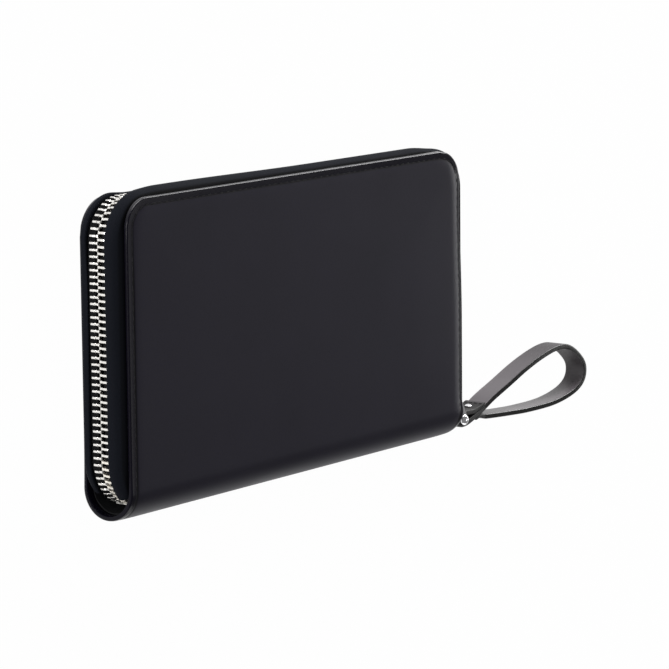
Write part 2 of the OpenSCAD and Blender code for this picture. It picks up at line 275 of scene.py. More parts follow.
def leather(name, tones, rough, specular, cells=hide["cells"], edge=None, edgeRough=None):
    # tones are the dark and light of the hide; edge is the tone where the point mark "border" is 1.
    # A mark of painted shade darkens and dulls grooves, creases and turns; "rim" is where the edge is
    # polished
    m, tree, shader, place = newMaterial(name)
    grain = tree.nodes.new("ShaderNodeGroup")
    grain.node_tree = leatherGrain
    grain.inputs["Cells"].default_value = cells
    tree.links.new(place.outputs["Object"], grain.inputs["Place"])
    pores = mathNode(tree, "MULTIPLY", grain.outputs["Pore"], hide["poreTone"])
    cloud = mathNode(tree, "MULTIPLY", grain.outputs["Cloud"], hide["cloudTone"])
    colour = twoTone(tree, mathNode(tree, "ADD", cloud, pores), *tones)
    glossiest, dullest = rough - hide["glossBelow"], rough + hide["glossAbove"]
    gloss = spread(tree, grain.outputs["Cloud"], *usualNoise, glossiest, dullest)
    if edge:
        border = markOf(tree, "border")
        colour = twoTone(tree, border, colour, edge)
        # painted shade: darker and duller where its point mark lies
        shade = markOf(tree, "shade")
        colour = twoTone(tree, shade, colour, tuple(t * hide["shadeTone"] for t in edge))
        gloss = mathNode(tree, "ADD", gloss, mathNode(tree, "MULTIPLY", border, edgeRough - rough))
        gloss = mathNode(tree, "ADD", gloss, mathNode(tree, "MULTIPLY", shade, hide["shadeDull"]))
        coat = mathNode(tree, "MULTIPLY", markOf(tree, "rim"), hide["rimCoat"])
        tree.links.new(coat, shader.inputs["Coat Weight"])
        shader.inputs["Coat Roughness"].default_value = hide["rimRough"]
    tree.links.new(colour, shader.inputs["Base Color"])
    tree.links.new(gloss, shader.inputs["Roughness"])
    shader.inputs["Specular IOR Level"].default_value = specular
    bumpFrom(tree, grain.outputs["Height"], hide["bump"], hide["depth"], shader)
    return m


coverLeather = leather(
    "coverLeather", ((0.0097, 0.0083, 0.0168), (0.0166, 0.0143, 0.0272)), rough=0.42, specular=0.12,
    edge=(0.006, 0.0051, 0.0106), edgeRough=0.22,
)
# the bands' edge tone is painted shade, in the crease where they go under the cover
bandLeather = leather(
    "bandLeather", ((0.007, 0.008, 0.012), (0.0125, 0.0142, 0.02)), rough=0.7, specular=0.06,
    edge=(0.0015, 0.0015, 0.002), edgeRough=0.75,
)
strapLeather = leather(
    "strapLeather", ((0.13, 0.114, 0.126), (0.157, 0.137, 0.151)), rough=0.34, specular=0.55, cells=1600,
    edge=(0.002, 0.0018, 0.0018), edgeRough=0.14,
)
pocketLeather = leather(
    "pocketLeather", ((0.012, 0.012, 0.0135), (0.022, 0.022, 0.024)), rough=0.48, specular=0.4, cells=1800,
)

plating = dict(hazeScale=900, worn=0.93, glossiest=0.8, dullest=1.25, bump=0.08, depth=0.00003)


def metal(name, tone, rough):
    # polished plating with a little haze that changes over the surface
    m, tree, shader, place = newMaterial(name)
    haze = noiseAt(tree, place.outputs["Object"], plating["hazeScale"], detail=4, rough=0.6)
    worn = tuple(t * plating["worn"] for t in tone)
    gloss = spread(tree, haze, *usualNoise, rough * plating["glossiest"], rough * plating["dullest"])
    tree.links.new(twoTone(tree, haze, worn, tone), shader.inputs["Base Color"])
    tree.links.new(gloss, shader.inputs["Roughness"])
    shader.inputs["Metallic"].default_value = 1.0
    bumpFrom(tree, haze, plating["bump"], plating["depth"], shader)
    return m


toothMetal = metal("toothMetal", (0.95, 0.93, 0.89), rough=0.24)
tailMetal = metal("tailMetal", (1.0, 0.96, 0.88), rough=0.5)
fittingMetal = metal("fittingMetal", (0.86, 0.86, 0.88), rough=0.16)

cloth = dict(
    lean=0.5, fuzz=0.4, fuzzScale=4000, glossBelow=0.05, glossAbove=0.08, specular=0.2,
    bump=0.5, depth=0.00012,
)


def weave(name, dark, light, pitch, rough):
    # threads over and under: two crossed waves, pitch millimetres long, with fuzz
    m, tree, shader, place = newMaterial(name)
    sep = tree.nodes.new("ShaderNodeSeparateXYZ")
    tree.links.new(place.outputs["Object"], sep.inputs[0])
    x, y, z = (sep.outputs[k] for k in "XYZ")
    k = 2 * math.pi / (pitch * mm)
    warp = mathNode(tree, "ADD", x, mathNode(tree, "MULTIPLY", y, cloth["lean"]))
    lean = mathNode(tree, "MULTIPLY", x, cloth["lean"])
    weft = mathNode(tree, "SUBTRACT", mathNode(tree, "ADD", y, z), lean)
    a = mathNode(tree, "SINE", mathNode(tree, "MULTIPLY", warp, k))
    b = mathNode(tree, "SINE", mathNode(tree, "MULTIPLY", weft, k))
    thread = spread(tree, mathNode(tree, "MULTIPLY", a, b), -1, 1, 0, 1)
    fuzz = noiseAt(tree, place.outputs["Object"], cloth["fuzzScale"], detail=2, rough=0.6)
    height = mathNode(tree, "ADD", thread, mathNode(tree, "MULTIPLY", fuzz, cloth["fuzz"]))
    gloss = spread(tree, fuzz, *usualNoise, rough - cloth["glossBelow"], rough + cloth["glossAbove"])
    tree.links.new(twoTone(tree, thread, dark, light), shader.inputs["Base Color"])
    tree.links.new(gloss, shader.inputs["Roughness"])
    shader.inputs["Specular IOR Level"].default_value = cloth["specular"]
    bumpFrom(tree, height, cloth["bump"], cloth["depth"], shader)
    return m


tapeCloth = weave("tapeCloth", (0.002, 0.002, 0.0023), (0.006, 0.006, 0.007), pitch=0.9, rough=0.8)
liningCloth = weave("liningCloth", (0.006, 0.006, 0.007), (0.016, 0.016, 0.0185), pitch=0.6, rough=0.75)
threadCloth = weave(
    "threadCloth", (0.0018, 0.0018, 0.0022), (0.0055, 0.0055, 0.0065), pitch=0.35, rough=0.7,
)
paleThread = weave("paleThread", (0.06, 0.06, 0.065), (0.16, 0.155, 0.16), pitch=0.35, rough=0.55)

boardTone = dict(
    dark=(0.24, 0.2, 0.15), light=(0.36, 0.31, 0.24), fibreScale=700, rough=(0.8, 0.92),
    bump=0.3, depth=0.0001,
)


def boardStock(name, b):
    # pressed fibres seen as fine mottling
    m, tree, shader, place = newMaterial(name)
    fibre = noiseAt(tree, place.outputs["Object"], b["fibreScale"], detail=5, rough=0.65)
    tree.links.new(twoTone(tree, fibre, b["dark"], b["light"]), shader.inputs["Base Color"])
    tree.links.new(spread(tree, fibre, *usualNoise, *b["rough"]), shader.inputs["Roughness"])
    bumpFrom(tree, fibre, b["bump"], b["depth"], shader)
    return m


greyBoard = boardStock("greyBoard", boardTone)
print("materials ready")

# covers: one skin from the middle of the spine to the turned border. The profiles give the height over the
# face at each distance from the edge. A pair says where an effect starts and where it is full: by that
# distance in names with In, by the way up from the spine's round with Up, by a corner's turn with Turn
cover = dict(
    outer=[
        (0, -1.9), (0.02, -1.6), (0.05, -1.3), (0.1, -1.02), (0.2, -0.74), (0.32, -0.53), (0.46, -0.38),
        (0.64, -0.31), (0.9, -0.285), (1.5, -0.28), (2.3, -0.28), (2.8, -0.29), (3.1, -0.31), (3.3, -0.34),
        (3.45, -0.35), (3.6, -0.33), (3.85, -0.27), (4.2, -0.21), (4.8, -0.14), (5.6, -0.07), (6.4, -0.03),
        (7.6, 0), (9, 0), (11, 0), (13, 0),
    ],
    inner=[
        (0.02, -2), (0.08, -2.1), (0.18, -2.16), (0.34, -2.26), (0.55, -2.34), (0.8, -2.39), (1.1, -2.4),
        (1.45, -2.4), (1.85, -2.4), (2.3, -2.4), (2.75, -2.4), (3.1, -2.4), (3.3, -2.4), (3.5, -2.36),
        (3.65, -1.9), (3.8, -1.4), (4.1, -1.25), (4.4, -1.22), (4.9, -1.22), (5.7, -1.22), (7, -1.22),
        (8.5, -1.22), (10.2, -1.22), (11.6, -1.22), (13, -1.22),
    ],
    spineOuter=[(0, -1.9), (0.2, -0.76), (0.46, -0.42), (1.7, -0.12), (13, 0)],
    spineInner=-1.65, spineShare=0.8, spineUp=(2, -12), sag=0.62, sagPower=1.2, sagTilt=0.75,
    crown=0.35, backCrown=0.08, crownIn=(4.5, 40), crownUp=(-4, 30), thinnest=0.1,
    wave=0.05, waveX=(0.043, 0.7), waveS=(0.061, 0.4), waveIn=(4, 20),
    borderEnd=3.5, panelStart=3.6, pitch=4.0, pucker=0.03, puckerWide=0.9, sideStrip=5,
    seamIn=3.12, seamLift=-0.4,
    rightRoll=0.4, rightReach=18, rightFall=0.66, fallEnd=9.8, rightStep=0.6, stepIn=(3.7, 2.6),
    leftRoll=0.45, leftReach=16, endTurn=(0.2, 0.95), stepTurn=(0.5, 1), rightUp=(-8, 8), leftUp=(-14, 8),
    flare=1.4, flareUp=(92, 40), flareFootUp=(-21, 0), flareReach=40, rightCornerR=17.5, topGrow=0.3,
    backInset=0.8, backCornerR=16, backDrop=0.2, backGrowUp=(20, -21),
    roundTurn=(0.2, 0.55), arcRows=29, firstRow=0.4, flatRows=42, middleCols=64,
)


def spineSag(angle):
    # the soft spine hangs a little below a true half round, more on its back side
    hang = np.clip(np.cos(angle), 0, 1) ** cover["sagPower"]
    return cover["sag"] * hang * (1 - cover["sagTilt"] * np.sin(angle))


def coverOutline(side):
    # half width, top edge and the left and right corner radius of the front (1) or the smaller back (-1)
    if side > 0:
        return halfW, halfH + cover["topGrow"], wallet["cornerR"], cover["rightCornerR"]
    inset, radius = cover["backInset"], cover["backCornerR"]
    return halfW - inset, halfH - inset, radius, radius


def endDrop(X, share, S, d, side):
    # the padded panel rolls off to its two ends, less on the back that lies on the table;
    # share is how far an edge faces sideways, d its distance
    turn = smooth(*cover["endTurn"], share)
    panel = np.maximum(d, cover["panelStart"])
    fall = (cover["fallEnd"] - panel) / (cover["fallEnd"] - cover["panelStart"])
    right = cover["rightRoll"] * np.clip(1 - d / cover["rightReach"], 0, 1) ** 3
    right = right + cover["rightFall"] * np.clip(fall, 0, 1) ** 2
    step = cover["rightStep"] * smooth(*cover["stepIn"], d) * smooth(*cover["stepTurn"], share)
    right = (right * turn + step) * smooth(*cover["rightUp"], S)
    left = cover["leftRoll"] * np.clip(1 - panel / cover["leftReach"], 0, 1) ** 3 * turn
    drop = np.where(X > 0, right, left * smooth(*cover["leftUp"], S))
    return drop if side > 0 else drop * cover["backDrop"]


def flareAt(X, S, side):
    # the soft front spreads at its lower right; the back grows to the front's width at the spine
    if side > 0:
        upright = smooth(*cover["flareUp"], S) * smooth(*cover["flareFootUp"], S)
        return cover["flare"] * upright * smooth(halfW - cover["flareReach"], halfW, X)
    return cover["backInset"] * smooth(*cover["backGrowUp"], S) * X / halfW


def coverSurface(profile, outside, side):
    # the distance d from the edge gives the height h over the plain face; square rings turn round near the
    # corners. Rows run from the middle of the spine up its quarter and on over the flat, and S is the way
    # from the quarter's end; side is 1 for the front, -1 for the back
    edge, rise = np.array(profile, float).T
    halfX, halfY, leftR, rightR = coverOutline(side)
    near = edge[:-1]
    arc = np.radians(np.r_[0, cover["firstRow"], np.linspace(0, 90, cover["arcRows"])[1:]])
    plainRows = np.linspace(spineY, halfY - max(leftR, rightR), cover["flatRows"])[1:]
    flat = np.r_[plainRows, (halfY - near)[::-1]]
    middle = np.linspace(leftR - halfX, halfX - rightR, cover["middleCols"])
    x = np.r_[near - halfX, middle, (halfX - near)[::-1]]
    nArc, nFlat = len(arc), len(flat)
    X = np.tile(x, (nArc + nFlat, 1))
    S = np.r_[(arc - math.pi / 2) * midZ, flat - spineY][:, None] + 0 * X
    Y = np.r_[np.zeros(nArc), flat][:, None] + 0 * X
    rc = np.where(X > 0, rightR, leftR)
    a = np.clip((np.abs(X) - (halfX - rc)) / rc, 0, None)
    b = np.clip((Y - (halfY - rc)) / rc, 0, None)
    ring = np.maximum(a, b)
    both = (a > 0) & (b > 0)
    shrink = np.where(both, ring / np.maximum(np.hypot(a, b), 1e-9), 1.0)
    w = smooth(*cover["roundTurn"], ring)
    pull = 1 - w + w * shrink
    X = np.where(both, np.sign(X) * (halfX - rc + a * pull * rc), X)
    Y = np.where(both, halfY - rc + b * pull * rc, Y)
    d = rc * (1 - np.clip(ring, 0, 1))
    h = np.interp(d, edge, rise)
    if outside:
        reach = np.minimum(halfX - np.abs(X), np.where(S > 0, halfY - Y, np.inf))
        crown = cover["crown" if side > 0 else "backCrown"]
        h = h + crown * smooth(*cover["crownIn"], reach) * smooth(*cover["crownUp"], S)
        waves = np.sin(np.polyval(cover["waveX"], X)) * np.cos(np.polyval(cover["waveS"], S))
        h = h + cover["wave"] * waves * smooth(*cover["waveIn"], d)
        h = h - endDrop(X, a / (a + b + 1e-9), S, d, side)
        h = np.maximum(h, np.interp(d, *np.array(cover["inner"]).T) + cover["thinnest"])
        spine = np.interp(d, *np.array(cover["spineOuter"]).T)
        h = h + (spine - h) * cover["spineShare"] * smooth(*cover["spineUp"], S)
        along = np.where(np.abs(X) > halfX - cover["sideStrip"], S, X)
        pucker = cover["pucker"] * np.sin(along * 2 * math.pi / cover["pitch"])
        h = h + pucker * np.exp(-((d - cover["borderEnd"]) / cover["puckerWide"]) ** 2)
    else:
        onSpine = (S < 0) & (d > cover["panelStart"])
        h = np.where(onSpine, np.minimum(h, cover["spineInner"]), h)
    onArc = np.arange(nArc + nFlat)[:, None] < nArc
    angle = np.r_[arc, np.full(nFlat, math.pi / 2)][:, None]
    h = h + spineSag(angle * side)
    yBase = np.where(onArc, spineY - midZ * np.cos(angle), Y)
    zBase = np.where(onArc, midZ + midZ * np.sin(angle), 2 * midZ)
    z = zBase + np.sin(angle) * h
    X = X + flareAt(X, S, side)
    points = np.stack([X, yBase - np.cos(angle) * h, z if side > 0 else 2 * midZ - z], -1)
    return points, d


def shellFaces(rows, cols):
    # outer grid, inner grid and the strip that joins their rims
    n = rows * cols
    outer = gridFaces(rows, cols)
    inner = outer[:, ::-1] + n
    rim = np.r_[
        np.arange(cols),
        cols * np.arange(1, rows) + cols - 1,
        (rows - 1) * cols + np.arange(cols - 2, -1, -1),
        cols * np.arange(rows - 2, 0, -1),
    ]
    nxt = np.roll(rim, -1)
    return np.r_[outer, inner, np.stack([rim, rim + n, nxt + n, nxt], 1)]


foldFront = dict(start=(0, -halfH * mm, midZ * mm), end=(0, spineY * mm, 2 * midZ * mm))
foldBack = dict(start=(0, spineY * mm, 0), end=(0, -halfH * mm, midZ * mm))

# marks on the covers, painted shade among them, in millimetres from the border's end, edge, top, left or
# right
coverMarks = dict(
    border=(0.35, -0.15), shade=0.32, shadeDark=0.9, topPaler=0.4, topPalerAt=(14, 5),
    leftWider=0.35, leftShift=0.1, leftAt=(9, 3), leftBelow=(14, 40),
    rim=(0.7, 0.35), rimTop=(10, 1.5), rimRight=(19, 10), rimFade=0.9,
)


def coverSkin(name, side):
    # outer and inner surface closed at the rim; painted shade is a bell curve round the border's end in the
    # sewn groove, wider on the left, paler at the top; "border" a step there, "rim" a step at the very edge
    # along the top
    c = coverMarks
    outer, d = coverSurface(cover["outer"], True, side)
    inner, _ = coverSurface(cover["inner"], False, side)
    fromEnd = d - cover["borderEnd"]
    fromLeft, fromRight, fromTop = outer[..., 0] + halfW, halfW - outer[..., 0], halfH - outer[..., 1]
    # painted shade round the sewn groove, spread over the left border below its corner
    leftRun = smooth(*c["leftAt"], fromLeft) * smooth(*c["leftBelow"], fromTop)
    wide = c["shade"] + c["leftWider"] * leftRun
    shade = np.exp(-((fromEnd - c["leftShift"] * leftRun) / wide) ** 2)
    shade = shade * (c["shadeDark"] - c["topPaler"] * smooth(*c["topPalerAt"], fromTop))
    rim = smooth(*c["rim"], d) * smooth(*c["rimTop"], fromTop)
    rim = rim * (1 - c["rimFade"] * smooth(*c["rimRight"], fromRight))
    border = np.r_[smooth(*c["border"], fromEnd).ravel(), np.ones(d.size)]
    rim, shade = (np.r_[mark.ravel(), np.zeros(d.size)] for mark in (rim, shade))
    marks = dict(border=border, rim=rim, shade=shade)
    verts = np.r_[outer.reshape(-1, 3), inner.reshape(-1, 3)]
    obj = putMesh(name, verts, shellFaces(*d.shape), sharp=60, marks=marks)
    return dress(obj, coverLeather)


frontSkin = coverSkin("front_leather", 1)
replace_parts(frontSkin, "front_cover", "spine_cover")
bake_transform(frontSkin)
backSkin = coverSkin("back_leather", -1)
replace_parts(backSkin, "back_cover")
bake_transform(backSkin)
print("covers laid", len(frontSkin.data.vertices))


# stitches: one rounded bar, laid again and again
stitch = dict(
    length=2.6, width=0.5, slant=8, sides=7, rings=6, bunching=1.6, fullness=4, endLeft=0.05, height=0.75,
)


def capsule(length, width):
    # a thread seen as a rounded bar along x, with its rings closer together towards the ends
    sides, rings = stitch["sides"], stitch["rings"]
    t = np.linspace(-1, 1, rings)
    x = length / 2 * np.sign(t) * (1 - (1 - np.abs(t)) ** stitch["bunching"])
    r = width / 2 * np.sqrt(np.clip(1 - np.abs(t) ** stitch["fullness"], stitch["endLeft"], 1))
    a = np.arange(sides) * 2 * math.pi / sides
    wide, high = np.outer(r, np.cos(a)), np.outer(r, np.sin(a)) * stitch["height"]
    v = np.stack([np.repeat(x, sides), wide.ravel(), high.ravel()], 1)
    f = gridFaces(rings, sides, wrapCols=True).tolist()
    f += [list(range(sides))[::-1], [(rings - 1) * sides + k for k in range(sides)]]
    return v, f


def layStitches(name, places, ahead, outward, **own):
    # each thread lies along its seam, turned a little, its middle on the given place; own sizes may be given
    length, width, slant = ({**stitch, **own}[k] for k in ("length", "width", "slant"))
    v, f = capsule(length, width)
    side = np.cross(outward, ahead)
    c, s = math.cos(math.radians(slant)), math.sin(math.radians(slant))
    ex = ahead * c + side * s
    ey = side * c - ahead * s
    verts = places[:, None, :] + v[None, :, :1] * ex[:, None] + v[None, :, 1:2] * ey[:, None]
    verts = verts + v[None, :, 2:] * outward[:, None]
    start = np.arange(len(places)) * len(v)
    faces = [[s0 + i for i in face] for s0 in start.tolist() for face in f]
    return putMesh(name, verts.reshape(-1, 3), faces, sharp=70)


def seamOnCover(d, lift, pitch, side):
    # points every pitch along left, top and right borders, at distance d from the edge
    x1, y1, rl, rr = (v - d for v in coverOutline(side))
    ql, qr, qs = (r * math.pi / 2 for r in (rl, rr, midZ))
    runs = [qs, y1 - rl - spineY, ql, 2 * x1 - rl - rr, qr, y1 - rr - spineY, qs]
    ends = np.cumsum([0] + runs)
    s = np.arange(pitch / 2, ends[-1], pitch)
    k = np.clip(np.searchsorted(ends, s, side="right") - 1, 0, 6)
    q = s - ends[k]
    zero, one = np.zeros_like(s), np.ones_like(s)
    up = q / midZ
    down = math.pi / 2 - q / midZ
    tl, tr = q / rl, q / rr
    left, right = np.cos(tl) / (np.cos(tl) + np.sin(tl)), np.sin(tr) / (np.cos(tr) + np.sin(tr))
    share = np.choose(k, [one, one, left, zero, right, one, one])
    above = (halfH - spineY) * one
    S = np.choose(k, [q - qs, q, above, above, above, y1 - rr - q - spineY, -q])
    lift = lift - endDrop(k - 3, share, S, d, side)  # runs 0 to 2 are on the left, 4 to 6 on the right
    top = 2 * midZ + lift
    rUp, rDown = (midZ + lift + spineSag(a * side) for a in (up, down))
    pos = [
        np.stack([-x1 * one, spineY - rUp * np.cos(up), midZ + rUp * np.sin(up)], 1),
        np.stack([-x1 * one, spineY + q, top], 1),
        np.stack([rl - x1 - rl * np.cos(tl), y1 - rl + rl * np.sin(tl), top], 1),
        np.stack([rl - x1 + q, y1 * one, top], 1),
        np.stack([x1 - rr + rr * np.sin(tr), y1 - rr + rr * np.cos(tr), top], 1),
        np.stack([x1 * one, y1 - rr - q, top], 1),
        np.stack([x1 * one, spineY - rDown * np.cos(down), midZ + rDown * np.sin(down)], 1),
    ]
    ahead = [
        np.stack([zero, np.sin(up), np.cos(up)], 1),
        np.stack([zero, one, zero], 1),
        np.stack([np.sin(tl), np.cos(tl), zero], 1),
        np.stack([one, zero, zero], 1),
        np.stack([np.cos(tr), -np.sin(tr), zero], 1),
        np.stack([zero, -one, zero], 1),
        np.stack([zero, -np.sin(down), -np.cos(down)], 1),
    ]
    out = [
        np.stack([zero, -np.cos(up), np.sin(up)], 1),
        *[np.stack([zero, zero, one], 1)] * 5,
        np.stack([zero, -np.cos(down), np.sin(down)], 1),
    ]
    places, ways, outs = (np.choose(k[:, None], parts) for parts in (pos, ahead, out))
    places[:, 0] += flareAt(places[:, 0], S, side)
    if side < 0:
        places = places * [1, 1, -1] + [0, 0, 2 * midZ]
        ways, outs = ways * [1, 1, -1], outs * [1, 1, -1]
    return places, ways, outs


for label, side, bodies, fold in (
    ("front", 1, ("spine", "front"), foldFront),
    ("back", -1, ("back", "spine"), foldBack),
):
    places = seamOnCover(cover["seamIn"], cover["seamLift"], cover["pitch"], side)
    seam = layStitches(label + "_stitches", *places)
    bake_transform(dress(seam, threadCloth))
print("border stitches sewn")

# zip: the path that its bands and tapes are carried along
zipLine = dict(
    left=2.3, top=1.4, right=0.8, cornerR=16.6,
    tailR=20.6, tailA=74.0, bandTailA=42.0, tailRise=25.5,
)
tapeLeft = -halfW - zipLine["left"]
tapeTop = halfH - zipLine["top"]
tapeRight = halfW + zipLine["right"]
turnY = tapeTop - zipLine["cornerR"]
tailY = -halfH + zipLine["tailRise"]


def bend(cx, cy, r, a0, a1, n):
    # places on an arc, with the outward angle of each
    t = np.linspace(a0, a1, n)
    return np.stack([cx + r * np.cos(np.radians(t)), cy + r * np.sin(np.radians(t)), t], 1)


def stretch(x0, y0, x1, y1, angle, step=1.6):
    # places on a straight run, all facing one way
    t = np.linspace(0, 1, int(math.hypot(x1 - x0, y1 - y0) / step) + 1)
    return np.stack([x0 + (x1 - x0) * t, y0 + (y1 - y0) * t, angle + 0 * t], 1)


def zipPath(lowY, tailTo):
    # places and outward angles from the right end round to the tail
    r, rt = zipLine["cornerR"], zipLine["tailR"]
    parts = [
        stretch(tapeRight, lowY, tapeRight, turnY, 0),
        bend(tapeRight - r, turnY, r, 0, 90, 22)[1:],
        stretch(tapeRight - r, tapeTop, tapeLeft + r, tapeTop, 90)[1:],
        bend(tapeLeft + r, turnY, r, 90, 180, 22)[1:],
        stretch(tapeLeft, turnY, tapeLeft, tailY, 180)[1:],
    ]
    if tailTo:
        parts.append(bend(tapeLeft + rt, tailY, rt, 180, 180 + tailTo, 26)[1:])
    return np.concatenate(parts)


def sweep(name, path, profile, marks=None):
    # profile points (outward, up) set on every place of the path, closed at both ends; a profile may have one
    # layer of points for all places or one for each
    a = np.radians(path[:, 2])[:, None]
    n, z = profile[..., 0], profile[..., 1]
    v = np.stack([path[:, :1] + n * np.cos(a), path[:, 1:2] + n * np.sin(a), midZ + z + 0 * a], -1)
    rows, cols = v.shape[:2]
    faces = gridFaces(rows, cols, wrapCols=True).tolist()
    faces += [list(range(cols)), list(range((rows - 1) * cols, rows * cols))[::-1]]
    return putMesh(name, v.reshape(-1, 3), faces, marks=marks)


def arcPoints(cx, cy, r, a0, a1, n):
    a = np.radians(np.linspace(a0, a1, n))
    return np.stack([cx + r * np.cos(a), cy + r * np.sin(a)], 1)


# bands: rolled leather beside the tape, with painted shade from the seam height up, where it goes under the
# cover
band = dict(
    wall=0.85, root=0.35, lip=5.6, mid=7.0, top=11.0, flange=7.5, steps=(2.8, 4, 5), nose=0.75, noseTip=0.3,
    # from the seam height up the band gets painted shade, higher on the sides
    frontRise=4.1, backRise=1.2, seam=9.9, shadeSoft=0.7, shadeSideRise=0.75,
)
bandRun = dict(
    fuller=0.2, fullerX=(10, -80), spent=1.5, spentX=(-92, -112), flatter=0.5, flatterX=(84, 108),
    foot=0.8, footY=(20, -30), head=1.2, headY=(30, 56), leftX=(-90, -108),
)


def bandProfile(b, rise):
    # lip on the tape, rolled crest, shoulder down to the flange under the cover, and back inside
    r = b["top"] - b["mid"]
    c = rise - r
    nose = min(b["nose"], (rise - b["root"]) / 2)
    inside = b["top"] - b["wall"]
    first, second, third = b["steps"]
    return np.concatenate([
        [[b["root"], b["lip"] + nose * b["noseTip"]]],
        arcPoints(rise - nose, b["lip"] + nose, nose, -90, 0, 7),
        arcPoints(c, b["mid"], r, 3, 90, 16),
        [[-first, b["top"]], [-third, b["top"]], [-b["flange"], b["top"]]],
        [[-b["flange"], inside], [-second, inside]],
        arcPoints(c, b["mid"], r - b["wall"], 90, 8, 9),
        [[rise - b["wall"], b["lip"] + b["wall"]], [b["root"], b["lip"] + b["wall"]]],
    ])


def bandSwell(x, y):
    # how far each band stands out along its run, 1 as drawn: the front one is fuller on the left half of the
    # top and flatter at both its corners, the back one fuller at the foot and the head of the left side
    b = bandRun
    fuller = b["fuller"] * smooth(*b["fullerX"], x) * (1 - b["spent"] * smooth(*b["spentX"], x))
    flatter = b["flatter"] * smooth(*b["flatterX"], x)
    foot, head = b["foot"] * smooth(*b["footY"], y), b["head"] * smooth(*b["headY"], y)
    return dict(front=1 + fuller - flatter, back=1 + smooth(*b["leftX"], x) * (foot + head))


bandWay = zipPath(spineY, zipLine["bandTailA"])
swell = bandSwell(bandWay[:, 0], bandWay[:, 1])
sideways = np.cos(np.radians(bandWay[:, 2])) ** 2
for label, sign in (("front", 1), ("back", -1)):
    out, up = bandProfile(band, band[label + "Rise"]).T
    out = np.where(out > band["root"], band["root"] + (out - band["root"]) * swell[label][:, None], out)
    # painted shade in the crease under the cover, from the seam height up
    seam = band["seam"] + band["shadeSideRise"] * sideways[:, None]
    border = smooth(0, band["shadeSoft"], up - seam)
    shape = np.stack([out, sign * up + 0 * out], -1)
    obj = sweep(label + "_band", bandWay, shape, dict(border=border))
    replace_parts(dress(obj, bandLeather, label), label + "_zip_band")

# tapes: flat, as thick as the solids' own, with a curled tail at the lower left
tape = dict(halfThick=0.3, inner=1.7, front=7.3, back=5.4, points=6, endRise=5.5, tailFrom=1.5)
tapeEnd = -halfH + tape["endRise"]


def tapeProfile(outer, sign):
    # one flat face and the other, from the inner edge to the outer and back
    z = np.linspace(tape["inner"], outer, tape["points"])
    face = np.stack([np.full(tape["points"], tape["halfThick"]), z], 1)
    return np.concatenate([face, face[::-1] * [-1, 1]]) * [1, sign]


for label, sign, tailTo in (("front", 1, 0), ("back", -1, zipLine["tailA"])):
    obj = sweep(label + "_tape", zipPath(tapeEnd, tailTo), tapeProfile(tape[label], sign))
    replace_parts(dress(obj, tapeCloth, label), label + "_zip_tape")
tailTurn = (180 + tape["tailFrom"], 180 + zipLine["tailA"])
tailWay = bend(tapeLeft + zipLine["tailR"], tailY, zipLine["tailR"], *tailTurn, 26)
tail = dress(sweep("tail_end_tape", tailWay, tapeProfile(tape["back"], 1)), tapeCloth, "back")
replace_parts(tail, "tail_tape")
print("zip bands and tapes swept")

# teeth: the solids' own teeth made slimmer, with shorter heads and the two rows a little further apart
teeth = dict(
    slim=0.8, tip=1.05, flare=0.5, neck=1.2, head=0.84, apart=0.32, together=(halfW - 6, 70), softEdge=0.14,
)
teethOf = dict(
    back=("back_zip_teeth", "back_side_teeth", "tail_teeth", "slider_teeth"),
    front=("front_zip_teeth", "front_side_teeth"),
)


def islands(edges, count):
    # points that edges join share a number: the lowest one spreads along the edges until nothing changes
    label = np.arange(count)
    while True:
        lowest = label.copy()
        for a, b in ((0, 1), (1, 0)):
            np.minimum.at(lowest, edges[:, a], label[edges[:, b]])
        if np.array_equal(lowest, label):
            return np.unique(label, return_inverse=True)[1]
        label = lowest


def softenEdges(obj, width, segments=2, sharpest=32):
    # edges that turn by more than sharpest degrees are rounded
    bevel = obj.modifiers.new("softEdges", "BEVEL")
    bevel.width = width * mm
    bevel.segments = segments
    bevel.limit_method = "ANGLE"
    bevel.angle_limit = math.radians(sharpest)


